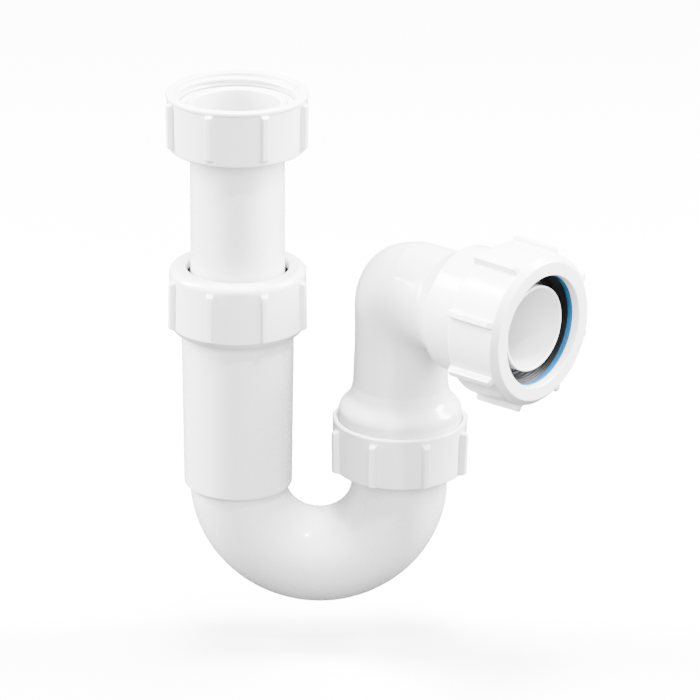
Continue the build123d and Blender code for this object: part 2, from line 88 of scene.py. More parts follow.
@dataclass(frozen=True)
class Finish:
    """A surface: its colour and gloss, and the grain and waves of its moulding."""

    name: str
    colour: tuple[float, float, float]
    roughness: float
    grain_mm: float
    grain_depth_mm: float
    wave_mm: float
    wave_depth_mm: float
    shade_spread: float
    coat: float = 0.0
    milkiness: float = 0.0
    shine: float = 0.5

    def material(self) -> bpy.types.Material:
        """Build the node material.

        Returns:
            A material that reads Object coordinates only.
        """
        made = bpy.data.materials.new(self.name)
        made.use_nodes = True
        nodes, links = made.node_tree.nodes, made.node_tree.links
        shader = nodes["Principled BSDF"]
        shader.inputs["IOR"].default_value = PLASTIC_IOR
        shader.inputs["Specular IOR Level"].default_value = self.shine
        shader.inputs["Coat Weight"].default_value = self.coat
        shader.inputs["Coat Roughness"].default_value = COAT_ROUGHNESS
        shader.inputs["Subsurface Weight"].default_value = self.milkiness
        shader.inputs["Subsurface Radius"].default_value = MILK_TINT
        shader.inputs["Subsurface Scale"].default_value = MILK_REACH * MM
        place = nodes.new("ShaderNodeTexCoord").outputs["Object"]

        def noise(size_mm: float, detail: float) -> bpy.types.NodeSocket:
            """Add noise of a given feature size.

            Args:
                size_mm: The size of its features, in millimetres.
                detail: How many finer layers it carries.

            Returns:
                The socket that carries it.
            """
            node = nodes.new("ShaderNodeTexNoise")
            node.inputs["Scale"].default_value = 1.0 / (size_mm * MM)
            node.inputs["Detail"].default_value = detail
            links.new(place, node.inputs["Vector"])
            return node.outputs["Fac"]

        cloud = noise(CLOUD_SIZE, detail=2.0)
        grain = noise(self.grain_mm, detail=3.0)
        wave = noise(self.wave_mm, detail=1.0)

        tint = nodes.new("ShaderNodeMapRange")
        tint.inputs["To Min"].default_value = 1.0 - self.shade_spread
        tint.inputs["To Max"].default_value = 1.0
        links.new(cloud, tint.inputs["Value"])
        paint = nodes.new("ShaderNodeMix")
        paint.data_type = "RGBA"
        paint.blend_type = "MULTIPLY"
        paint.inputs["Factor"].default_value = 1.0
        paint.inputs["A"].default_value = (*self.colour, 1.0)
        links.new(tint.outputs["Result"], paint.inputs["B"])
        links.new(paint.outputs["Result"], shader.inputs["Base Color"])

        gloss = nodes.new("ShaderNodeMapRange")
        gloss.inputs["To Min"].default_value = self.roughness * (1.0 - GLOSS_SWING)
        gloss.inputs["To Max"].default_value = self.roughness * (1.0 + GLOSS_SWING)
        links.new(grain, gloss.inputs["Value"])
        links.new(gloss.outputs["Result"], shader.inputs["Roughness"])

        broad = nodes.new("ShaderNodeBump")
        broad.inputs["Distance"].default_value = self.wave_depth_mm * MM
        links.new(wave, broad.inputs["Height"])
        fine = nodes.new("ShaderNodeBump")
        fine.inputs["Distance"].default_value = self.grain_depth_mm * MM
        links.new(grain, fine.inputs["Height"])
        links.new(broad.outputs["Normal"], fine.inputs["Normal"])
        links.new(fine.outputs["Normal"], shader.inputs["Normal"])
        return made


WHITE_MOULDING = Finish(
    "white_moulding", (0.72, 0.725, 0.72), roughness=0.3, grain_mm=0.9, grain_depth_mm=0.006,
    wave_mm=22.0, wave_depth_mm=0.10, shade_spread=0.015, coat=0.42, milkiness=0.06,
)
TUBE_WALL = Finish(
    "drawn_white_tube", (0.72, 0.725, 0.72), roughness=0.27, grain_mm=1.4, grain_depth_mm=0.005,
    wave_mm=30.0, wave_depth_mm=0.12, shade_spread=0.015, coat=0.42, milkiness=0.06,
)
SOFT_WASHER = Finish(
    "soft_pale_washer", (0.74, 0.75, 0.745), roughness=0.5, grain_mm=0.6, grain_depth_mm=0.02,
    wave_mm=9.0, wave_depth_mm=0.05, shade_spread=0.04,
)
# Painted shade: the compression slip ring is coloured near-black so that the gap under the
# compression nut's lip reads dark.
SLIP_RING_PAINTED_SHADE = Finish(
    "slip_ring_painted_shade", (0.008, 0.008, 0.009), roughness=0.45, grain_mm=0.8, grain_depth_mm=0.01,
    wave_mm=12.0, wave_depth_mm=0.05, shade_spread=0.1, shine=0.2,
)
BLUE_RING = Finish(
    "blue_slip_ring", (0.008, 0.078, 0.175), roughness=0.4, grain_mm=0.8, grain_depth_mm=0.01,
    wave_mm=12.0, wave_depth_mm=0.05, shade_spread=0.06, shine=0.3,
)
BLACK_RUBBER = Finish(
    "black_moulded_rubber", (0.005, 0.005, 0.0055), roughness=0.5, grain_mm=0.35,
    grain_depth_mm=0.03, wave_mm=6.0, wave_depth_mm=0.06, shade_spread=0.2, shine=0.16,
)
PALE_FLOOR = Finish(
    "pale_floor", (0.9, 0.9, 0.9), roughness=0.7, grain_mm=2.0, grain_depth_mm=0.0,
    wave_mm=40.0, wave_depth_mm=0.0, shade_spread=0.0,
)


def shade(material: bpy.types.Material, piece: bpy.types.Object) -> None:
    """Give every face of a piece one material.

    Args:
        material: The finish.
        piece: The piece that gets it.
    """
    piece.data.materials.clear()
    piece.data.materials.append(material)


@dataclass
class Outline:
    """A closed outline of corners (radius, height, rounding) to be turned or skinned."""

    corners: Sequence[tuple[float, ...]]
    step: float = 2.5
    closed: bool = True
    arc_step: float = math.radians(15)
    hairline: float = 0.12
    corner_share: float = 0.48
    guard: float = 0.35
    shortest: float = 0.3
    straight: float = math.radians(2)

    def points(self) -> list[Point]:
        """Round the corners and divide the runs.

        Returns:
            The outline's points, with extra ones beside each edge so that flat
            runs stay flat under smooth shading.
        """
        count = len(self.corners)
        bends: list[list[Vector]] = []
        for index, corner in enumerate(self.corners):
            here = Vector(corner[:2])
            rounding = corner[2] if len(corner) > 2 else 0.0
            if not self.closed and index in (0, count - 1):
                bends.append([here])
                continue
            before = Vector(self.corners[index - 1][:2])
            after = Vector(self.corners[(index + 1) % count][:2])
            bends.append(self._bend(before, here, after, rounding))
        made: list[Point] = []
        runs = count if self.closed else count - 1
        for index in range(runs):
            bend, following = bends[index], bends[(index + 1) % count]
            made.extend((p.x, p.y) for p in bend)
            made.extend(self._run(bend[-1], following[0]))
        if not self.closed:
            made.extend((p.x, p.y) for p in bends[-1])
        return made

    def _bend(self, before: Vector, here: Vector, after: Vector, rounding: float) -> list[Vector]:
        """Replace one corner by an arc.

        Args:
            before: The corner before it.
            here: The corner itself.
            after: The corner after it.
            rounding: The arc's radius, or 0 for a hairline softening.

        Returns:
            The points of the arc.
        """
        arrive, leave = (before - here), (after - here)
        if arrive.length < 1e-6 or leave.length < 1e-6:
            return [here]
        turn = math.pi - arrive.angle(leave)
        if turn < self.straight:
            return [here]
        reach = min(self.corner_share * arrive.length, self.corner_share * leave.length)
        radius = rounding or self.hairline
        setback = min(radius * math.tan(turn / 2), reach)
        radius = setback / math.tan(turn / 2)
        arrive.normalize()
        leave.normalize()
        start, end = here + arrive * setback, here + leave * setback
        centre = here + (arrive + leave).normalized() * math.hypot(radius, setback)
        steps = max(2, math.ceil(turn / self.arc_step))
        first, last = start - centre, end - centre
        sweep = first.angle_signed(last)
        return [centre + Matrix.Rotation(-sweep * k / steps, 2) @ first for k in range(steps + 1)]

    def _run(self, start: Vector, end: Vector) -> list[Point]:
        """Divide a straight run, with a guard point near each end.

        Args:
            start: Where the run starts.
            end: Where it ends.

        Returns:
            The points between the two, without them.
        """
        length = (end - start).length
        if length < self.shortest:
            return []
        guard = min(self.guard, length / 4)
        inner = max(1, math.ceil((length - 2 * guard) / self.step))
        reach = [guard + (length - 2 * guard) * k / inner for k in range(inner + 1)]
        return [tuple(start.lerp(end, distance / length)) for distance in reach]


def round_angles(count: int) -> list[float]:
    """Divide a full turn evenly.

    Args:
        count: How many angles.

    Returns:
        The angles, in radians.
    """
    return [2 * math.pi * k / count for k in range(count)]


def rib_angles(ribs: int, turn: float, radius: float, tip: float, root: float) -> list[float]:
    """Angles round a nut, close together where its ribs have their flanks.

    Args:
        ribs: How many ribs there are.
        turn: Where the first one stands, in radians.
        radius: The radius over the ribs.
        tip: Half a rib's width at its tip.
        root: Half a rib's width at its root.

    Returns:
        The angles, in order.
    """
    flank = [tip + (root - tip) * k / FLANK_STEPS for k in range(FLANK_STEPS + 1)]
    offsets = [tip * 0.5, tip - 0.2, *flank, root + 0.15, root + 0.5]
    near = [0.0] + [offset / radius for offset in offsets]
    gap = math.pi / ribs - near[-1]
    far = [near[-1] + gap * k / GAP_STEPS for k in range(1, GAP_STEPS + 1)]
    side = near + far
    whole = sorted([-angle for angle in side[1:-1]] + side)
    return [turn + 2 * math.pi * k / ribs + angle for k in range(ribs) for angle in whole]


def mesh_from_rings(name: str, rings: Sequence[Ring]) -> bpy.types.Object:
    """Skin closed rings into a closed surface.

    Args:
        name: The piece's name.
        rings: Rings of equally many points, in millimetres, the last joining the first.

    Returns:
        The new object, in metres, at the origin.
    """
    size = len(rings[0])
    points = [tuple(point * MM) for ring in rings for point in ring]
    faces = []
    for row in range(len(rings)):
        here, after = row * size, ((row + 1) % len(rings)) * size
        for k in range(size):
            following = (k + 1) % size
            faces.append((here + k, here + following, after + following, after + k))
    mesh = bpy.data.meshes.new(name)
    mesh.from_pydata(points, [], faces)
    mesh.update()
    volume = sum(p.area * p.normal.dot(p.center) for p in mesh.polygons)
    if volume < 0:
        mesh.flip_normals()
    mesh.shade_smooth()
    piece = bpy.data.objects.new(name, mesh)
    bpy.context.scene.collection.objects.link(piece)
    return piece


def turned(
    name: str, outline: Iterable[Point], angles: Sequence[float], place: Matrix
) -> bpy.types.Object:
    """Turn an outline about Z and set it in place.

    Args:
        name: The piece's name.
        outline: Points (radius, height).
        angles: Where the outline is repeated round the axis.
        place: Moves the turned piece to where it belongs.

    Returns:
        The new object.
    """
    rings = [
        [place @ Vector((r * math.cos(a), r * math.sin(a), h)) for a in angles] for r, h in outline
    ]
    return mesh_from_rings(name, rings)


class Sheet:
    """A geometry node tree under construction, with short ways to add its nodes."""

    def __init__(self, name: str) -> None:
        """Start a tree with a mesh going in and out.

        Args:
            name: The tree's name.
        """
        self.tree = bpy.data.node_groups.new(name, "GeometryNodeTree")
        for way in ("INPUT", "OUTPUT"):
            self.tree.interface.new_socket("Geometry", in_out=way, socket_type="NodeSocketGeometry")
        self.source = self.tree.nodes.new("NodeGroupInput")
        self.drain = self.tree.nodes.new("NodeGroupOutput")

    def setting(self, name: str, kind: str = "NodeSocketFloat") -> bpy.types.NodeSocket:
        """Add a named input.

        Args:
            name: Its name.
            kind: Its socket type.

        Returns:
            Its socket inside the tree.
        """
        self.tree.interface.new_socket(name, in_out="INPUT", socket_type=kind)
        return self.source.outputs[name]

    def node(self, kind: str, **inputs: object) -> bpy.types.Node:
        """Add a node and fill its inputs.

        Args:
            kind: The node's type.
            **inputs: Values or sockets, by input name with spaces as underscores.

        Returns:
            The node.
        """
        made = self.tree.nodes.new(kind)
        for key, value in inputs.items():
            self.join(value, made.inputs[key.replace("_", " ")])
        return made

    def join(self, value: object, socket: bpy.types.NodeSocket) -> None:
        """Link a socket, or set a plain value.

        Args:
            value: The value, or the socket that gives it.
            socket: The input that takes it.
        """
        if isinstance(value, bpy.types.NodeSocket):
            self.tree.links.new(value, socket)
        else:
            socket.default_value = value

    def calc(self, operation: str, *values: object) -> bpy.types.NodeSocket:
        """Add a math node.

        Args:
            operation: The math node's operation.
            *values: Its inputs in order.

        Returns:
            The result's socket.
        """
        made = self.tree.nodes.new("ShaderNodeMath")
        made.operation = operation
        for socket, value in zip(made.inputs, values):
            self.join(value, socket)
        return made.outputs[0]

    def ease(self, value: object, start: object, end: object) -> bpy.types.NodeSocket:
        """Go smoothly from 0 to 1.

        Args:
            value: What is measured.
            start: Where the result is 0.
            end: Where it is 1.

        Returns:
            The result's socket.
        """
        made = self.tree.nodes.new("ShaderNodeMapRange")
        made.interpolation_type = "SMOOTHSTEP"
        self.join(value, made.inputs["Value"])
        self.join(start, made.inputs["From Min"])
        self.join(end, made.inputs["From Max"])
        return made.outputs["Result"]


def nut_tree() -> bpy.types.GeometryNodeTree:
    """Raise ribs outside a turned nut and cut a thread into its mouth.

    Returns:
        A tree whose mesh stands on Z at the origin, in metres.
    """
    sheet = Sheet("ribs_and_thread")
    count = sheet.setting("Rib Count", "NodeSocketInt")
    rise = sheet.setting("Rib Rise")
    root = sheet.setting("Rib Root Half Width")
    tip = sheet.setting("Rib Tip Half Width")
    low = sheet.setting("Rib Low")
    high = sheet.setting("Rib High")
    blend = sheet.setting("Rib End")
    turn = sheet.setting("Rib Turn")
    skin = sheet.setting("Skin Radius")
    rib_radius = sheet.setting("Rib Radius")
    crest = sheet.setting("Thread Crest Radius")
    depth = sheet.setting("Thread Depth")
    pitch = sheet.setting("Thread Pitch")
    thread_low = sheet.setting("Thread Low")
    thread_high = sheet.setting("Thread High")
    start = sheet.setting("Thread Start")
    material = sheet.setting("Material", "NodeSocketMaterial")

    position = sheet.node("GeometryNodeInputPosition").outputs["Position"]
    parts = sheet.node("ShaderNodeSeparateXYZ", Vector=position).outputs
    squares = [sheet.calc("POWER", parts[side], 2.0) for side in ("X", "Y")]
    radius = sheet.calc("SQRT", sheet.calc("ADD", *squares))
    angle = sheet.calc("ARCTAN2", parts["Y"], parts["X"])

    circle = 2 * math.pi
    turns = sheet.calc("DIVIDE", sheet.calc("SUBTRACT", angle, turn), circle)
    offset = sheet.calc("WRAP", sheet.calc("MULTIPLY", turns, count), 0.5, -0.5)
    swing = sheet.calc("MULTIPLY", sheet.calc("ABSOLUTE", offset), circle)
    arc = sheet.calc("DIVIDE", swing, count)
    across = sheet.ease(sheet.calc("MULTIPLY", arc, rib_radius), root, tip)
    upward = sheet.ease(parts["Z"], sheet.calc("SUBTRACT", low, blend), low)
    downward = sheet.ease(parts["Z"], sheet.calc("ADD", high, blend), high)
    outside = sheet.calc("GREATER_THAN", radius, skin)
    along = sheet.calc("MULTIPLY", downward, outside)
    rib = sheet.calc("MULTIPLY", sheet.calc("MULTIPLY", across, upward), along)
    raised = sheet.calc("MULTIPLY", rib, rise)

    climb = sheet.calc("DIVIDE", sheet.calc("SUBTRACT", parts["Z"], start), pitch)
    phase = sheet.calc("SUBTRACT", climb, sheet.calc("DIVIDE", angle, circle))
    from_crest = sheet.calc("ABSOLUTE", sheet.calc("WRAP", phase, 0.5, -0.5))
    wave = sheet.calc("MULTIPLY", from_crest, 2.0)
    groove = sheet.calc("MULTIPLY", sheet.ease(wave, *THREAD_FLANK), depth)
    above = sheet.calc("GREATER_THAN", parts["Z"], thread_low)
    below = sheet.calc("LESS_THAN", parts["Z"], thread_high)
    cut_edge = sheet.calc("ADD", crest, sheet.calc("MULTIPLY", depth, 0.9))
    inside = sheet.calc("LESS_THAN", radius, cut_edge)
    zone = sheet.calc("MULTIPLY", sheet.calc("MULTIPLY", above, below), inside)
    short_of = sheet.calc("SUBTRACT", sheet.calc("ADD", crest, groove), radius)
    cut = sheet.calc("MAXIMUM", short_of, 0.0)
    carved = sheet.calc("MULTIPLY", cut, zone)

    growth = sheet.calc("ADD", raised, carved)
    east, north = sheet.calc("COSINE", angle), sheet.calc("SINE", angle)
    outward = sheet.node("ShaderNodeCombineXYZ", X=east, Y=north).outputs[0]
    push = sheet.tree.nodes.new("ShaderNodeVectorMath")
    push.operation = "SCALE"
    sheet.join(outward, push.inputs[0])
    sheet.join(growth, push.inputs["Scale"])
    body = sheet.source.outputs["Geometry"]
    moved = sheet.node("GeometryNodeSetPosition", Geometry=body, Offset=push.outputs[0])
    real = sheet.node("GeometryNodeRealizeInstances", Geometry=moved.outputs[0])
    dressed = sheet.node("GeometryNodeSetMaterial", Geometry=real.outputs[0], Material=material)
    sheet.join(dressed.outputs[0], sheet.drain.inputs["Geometry"])
    return sheet.tree


def bake(
    piece: bpy.types.Object, tree: bpy.types.GeometryNodeTree, settings: dict[str, object]
) -> None:
    """Run a geometry node tree on a piece and keep its result as plain mesh.

    Args:
        piece: The object to change.
        tree: The tree to run.
        settings: The tree's inputs by name.
    """
    modifier = piece.modifiers.new(tree.name, "NODES")
    modifier.node_group = tree
    names = {s.name: s.identifier for s in tree.interface.items_tree if s.in_out == "INPUT"}
    for name, value in settings.items():
        modifier[names[name]] = value
    bpy.context.view_layer.update()
    evaluated = piece.evaluated_get(bpy.context.evaluated_depsgraph_get())
    mesh = bpy.data.meshes.new_from_object(evaluated)
    piece.modifiers.clear()
    old = piece.data
    piece.data = mesh
    bpy.data.meshes.remove(old)
    mesh.name = piece.name
    mesh.shade_smooth()


@dataclass
class CouplingNut:
    """A ribbed nut, drawn standing on its closed end with its mouth up."""

    node: str
    body_r: float
    corners: list[tuple[float, ...]]
    rib_rise: float
    rib_low: float
    rib_high: float
    rib_turn: float
    place: Matrix
    rib_count: int = 8
    rib_root: float = 1.95
    rib_tip: float = 1.05
    rib_end: float = 0.8
    skin_depth: float = 1.6
    step: float = 0.45
    thread_low: float = 0.0
    thread_high: float = 0.0
    thread_start: float = 0.0
    thread_crest_r: float = 22.4
    thread_depth: float = 0.0

    def build(
        self, tree: bpy.types.GeometryNodeTree, plastic: bpy.types.Material
    ) -> bpy.types.Object:
        """Turn the body, then raise its ribs and cut its thread.

        Args:
            tree: The tree that ribs and threads a nut.
            plastic: The nut's material.

        Returns:
            The finished nut, in place.
        """
        over_ribs = self.body_r + self.rib_rise
        angles = rib_angles(self.rib_count, self.rib_turn, over_ribs, self.rib_tip, self.rib_root)
        outline = Outline(self.corners, step=self.step).points()
        piece = turned(self.node + "_moulding", outline, angles, Matrix.Identity(4))
        bake(piece, tree, {
            "Rib Count": self.rib_count,
            "Rib Rise": self.rib_rise * MM,
            "Rib Root Half Width": self.rib_root * MM,
            "Rib Tip Half Width": self.rib_tip * MM,
            "Rib Low": self.rib_low * MM,
            "Rib High": self.rib_high * MM,
            "Rib End": self.rib_end * MM,
            "Rib Turn": self.rib_turn,
            "Skin Radius": (self.body_r - self.skin_depth) * MM,
            "Rib Radius": over_ribs * MM,
            "Thread Crest Radius": self.thread_crest_r * MM,
            "Thread Depth": self.thread_depth * MM,
            "Thread Pitch": THREAD_PITCH * MM,
            "Thread Low": self.thread_low * MM,
            "Thread High": self.thread_high * MM,
            "Thread Start": self.thread_start * MM,
            "Material": plastic,
        })
        metres = self.place.copy()
        metres.translation *= MM
        piece.data.transform(metres)
        return piece


INLET_PLACE = Matrix.Identity(4)
BEND_PLACE = Matrix.Translation((0, 0, BEND_CENTRE_Z))
SWIVEL_PLACE = Matrix.Translation((LEG_SPACING, 0, BEND_CENTRE_Z))
ELBOW_PLACE = Matrix.Translation((LEG_SPACING, 0, OUTLET_Z)) @ Matrix.Rotation(OUTLET_TURN, 4, "Z")
ALONG_OUTLET = Matrix(((0, 0, 1, 0), (0, -1, 0, 0), (1, 0, 0, 0), (0, 0, 0, 1)))
OUTLET_PLACE = ELBOW_PLACE @ ALONG_OUTLET
TURNED_OVER = Matrix.Rotation(math.pi, 4, "X")


@dataclass
class InletCoupling:
    """The nut, washer and telescopic tube at the inlet, measured from the tube's rim."""

    tube_r: float = 18.25
    bore_r: float = 16.5
    tube_low: float = -104.9
    collar_r: float = 18.95
    flange_r: float = 22.0
    washer_top: float = -0.5
    flange_top: float = -2.5
    flange_low: float = -5.1
    nut_low: float = -17.6
    nut_height: float = 22.05
    nut_r: float = 27.0
    nut_floor: float = 3.0
    rim_r: float = 27.4
    chamber_r: float = 22.9
    crest_r: float = 22.4
    mouth_r: float = 24.0
    chamfer: float = 0.8
    tube_step: float = 6.0

    def nut(self) -> CouplingNut:
        """Describe the inlet nut.

        Returns:
            The nut, ready to build.
        """
        height, rim_low = self.nut_height, self.nut_height - 1.7
        thread_top, thread_low = height - 1.65, -self.nut_low
        hole_r = self.tube_r + 0.35
        corners = [
            (hole_r, 0.0, 0.3),
            (self.nut_r - 0.4, 0.0, 1.0),
            (self.nut_r, rim_low, 0.3),
            (self.rim_r, rim_low + 0.3, 0.3),
            (self.rim_r, height, 0.7),
            (self.mouth_r, height, 0.35),
            (self.mouth_r, thread_top + 0.4, 0.2),
            (self.crest_r, thread_top, 0.2),
            (self.crest_r, thread_low, 0.1),
            (self.chamber_r, thread_low - 0.3, 0.1),
            (self.chamber_r, self.nut_floor, 0.3),
            (hole_r, self.nut_floor, 0.3),
        ]
        return CouplingNut(
            "inlet_nut", self.nut_r, corners, rib_rise=2.0, rib_low=2.8, rib_high=rim_low - 0.55,
            rib_turn=math.radians(2 - 90 + HALF_RIB_STEP),
            place=Matrix.Translation((0, 0, self.nut_low)),
            thread_low=thread_low - 0.6, thread_high=thread_top + 0.3,
            thread_start=thread_low + 0.35, thread_depth=1.35,
        )

    def washer(self) -> bpy.types.Object:
        """Turn the soft washer round the tube's collar.

        Returns:
            The washer.
        """
        inner, outer = self.collar_r + 0.35, self.crest_r - 0.3
        corners = [(inner, self.flange_top, 0.2), (outer, self.flange_top, 0.2),
                   (outer, self.washer_top, 0.3), (inner, self.washer_top, 0.3)]
        outline = Outline(corners).points()
        return turned("inlet_washer_ring", outline, round_angles(WASHER_SIDES), INLET_PLACE)

    def tube(self) -> bpy.types.Object:
        """Turn the telescopic tube with its flange and collar.

        Returns:
            The tube.
        """
        corners = [
            (self.bore_r, self.tube_low, 0.2),
            (self.tube_r - self.chamfer, self.tube_low, 0.3),
            (self.tube_r, self.tube_low + self.chamfer, 0.5),
            (self.tube_r, self.flange_low, 0.8),
            (self.flange_r, self.flange_low, 0.4),
            (self.flange_r, self.flange_top - 0.1, 0.2),
            (self.collar_r, self.flange_top - 0.1, 0.1),
            (self.collar_r, 0.0, 0.45),
            (self.bore_r, 0.0, 0.45),
        ]
        outline = Outline(corners, step=self.tube_step).points()
        return turned("inlet_tube_wall", outline, round_angles(TUBE_SIDES), INLET_PLACE)


@dataclass
class CompressionJoint:
    """The sleeve with its threaded head, and its nut, measured from the bend's centre."""

    sleeve_top_r: float = 21.95
    sleeve_foot_r: float = 21.3
    bore_r: float = 19.1
    thread_r: float = 23.9
    foot: float = -0.75
    thread_low: float = 68.0
    top: float = 82.0
    seat_r: float = 22.4
    seat_depth: float = 6.5
    nut_top: float = 89.9
    nut_height: float = 25.2
    nut_r: float = 26.9
    hole_r: float = 19.92
    nut_bore_r: float = 24.2
    lip: float = 3.5
    chamfer: float = 0.6
    sleeve_step: float = 6.0

    def nut(self) -> CouplingNut:
        """Describe the compression nut.

        Returns:
            The nut, ready to build.
        """
        height = self.nut_height
        corners = [
            (self.hole_r, 0.0, 0.6),
            (self.nut_r - 0.4, 0.0, 2.7),
            (self.nut_r, height - 2.4, 0.5),
            (self.nut_r - 1.6, height, 0.5),
            (self.nut_bore_r, height, 0.3),
            (self.nut_bore_r, self.lip, 0.3),
            (self.hole_r, self.lip, 0.3),
        ]
        place = Matrix.Translation((0, 0, BEND_CENTRE_Z + self.nut_top)) @ TURNED_OVER
        return CouplingNut(
            "compression_nut", self.nut_r, corners, rib_rise=1.8, rib_low=3.8,
            rib_high=height - 3.0, rib_turn=math.radians(90 + HALF_RIB_STEP - 2), place=place,
        )

    def sleeve(self) -> bpy.types.Object:
        """Turn the sleeve.

        Returns:
            The sleeve.
        """
        corners = [
            (self.bore_r, self.foot, 0.3),
            (self.sleeve_foot_r, self.foot, 1.9),
            (self.sleeve_top_r, self.thread_low - 1.95, 0.6),
            (self.thread_r, self.thread_low, 0.3),
            (self.thread_r, self.top - self.chamfer, 0.2),
            (self.thread_r - self.chamfer, self.top, 0.2),
            (self.seat_r, self.top, 0.2),
            (self.bore_r, self.top - self.seat_depth, 0.5),
        ]
        outline = Outline(corners, step=self.sleeve_step).points()
        return turned("inlet_sleeve_wall", outline, round_angles(TUBE_SIDES), BEND_PLACE)


@dataclass
class SwivelBend:
    """The U-bend and the nut that carries the elbow, measured from the bend's centre."""

    bend_r: float = 18.99
    bore_r: float = 17.15
    reach: float = LEG_SPACING / 2
    spigot: float = 10.0
    run_out: float = 0.6
    flange_r: float = 23.5
    flange_low: float = 10.3
    flange_top: float = 12.8
    arc_steps: int = 96
    nut_low: float = 7.0
    nut_height: float = 20.9
    nut_r: float = 26.3
    mouth_r: float = 24.7
    mouth_depth: float = 2.5
    nut_bore_r: float = 24.2
    ledge: float = 3.2

    def nut(self) -> CouplingNut:
        """Describe the swivel nut.

        Returns:
            The nut, ready to build.
        """
        height, mouth_low = self.nut_height, self.nut_height - self.mouth_depth
        hole_r = self.bend_r + 0.35
        corners = [
            (hole_r, 0.0, 0.4),
            (self.nut_r - 0.4, 0.0, 0.6),
            (self.nut_r, height, 1.15),
            (self.mouth_r, height, 0.3),
            (self.mouth_r, mouth_low + 0.3, 0.1),
            (self.nut_bore_r, mouth_low, 0.2),
            (self.nut_bore_r, self.ledge, 0.3),
            (hole_r, self.ledge, 0.3),
        ]
        place = SWIVEL_PLACE @ Matrix.Translation((0, 0, self.nut_low))
        return CouplingNut(
            "swivel_nut", self.nut_r, corners, rib_rise=2.3, rib_low=0.9, rib_high=height - 3.2,
            rib_turn=math.radians(-90 + HALF_RIB_STEP), place=place,
        )

    def _ring(self, along: float, radius: float, angles: Sequence[float]) -> Ring:
        """Place one ring of the bend.

        Args:
            along: Angle round the bend from the inlet side. Below 0 it is height in
                the spigot, and what it has over pi is height in the outlet end.
            radius: The ring's radius.
            angles: Angles round the ring.

        Returns:
            The ring's points.
        """
        turn = min(max(along, 0.0), math.pi)
        rise = -along if along < 0 else max(along - math.pi, 0.0)
        outward = Vector((-math.cos(turn), 0, -math.sin(turn)))
        centre = outward * self.reach + Vector((self.reach, 0, rise))
        side = Vector((0, radius, 0))
        return [
            BEND_PLACE @ (centre + outward * (radius * math.cos(a)) + side * math.sin(a))
            for a in angles
        ]

    def bend(self) -> bpy.types.Object:
        """Skin the bend: its outside from spigot to flange, then its bore back.

        Returns:
            The bend.
        """
        angles = round_angles(BEND_SIDES)
        turns = [math.pi * k / self.arc_steps for k in range(self.arc_steps + 1)]
        flange = Outline([
            (self.bend_r, self.run_out), (self.bend_r, self.flange_low, 0.3),
            (self.flange_r, self.flange_low, 0.3), (self.flange_r, self.flange_top, 0.3),
            (self.bore_r, self.flange_top, 0.2), (self.bore_r, self.run_out),
        ], closed=False).points()
        spigot = Outline([
            (self.bore_r, self.run_out), (self.bore_r, self.spigot, 0.3),
            (self.bend_r, self.spigot, 0.3), (self.bend_r, self.run_out),
        ], closed=False).points()
        rings = [self._ring(turn, self.bend_r, angles) for turn in turns]
        rings += [self._ring(math.pi + h, r, angles) for r, h in flange]
        rings += [self._ring(turn, self.bore_r, angles) for turn in reversed(turns)]
        rings += [self._ring(-h, r, angles) for r, h in spigot]
        return mesh_from_rings("u_bend_wall", rings)


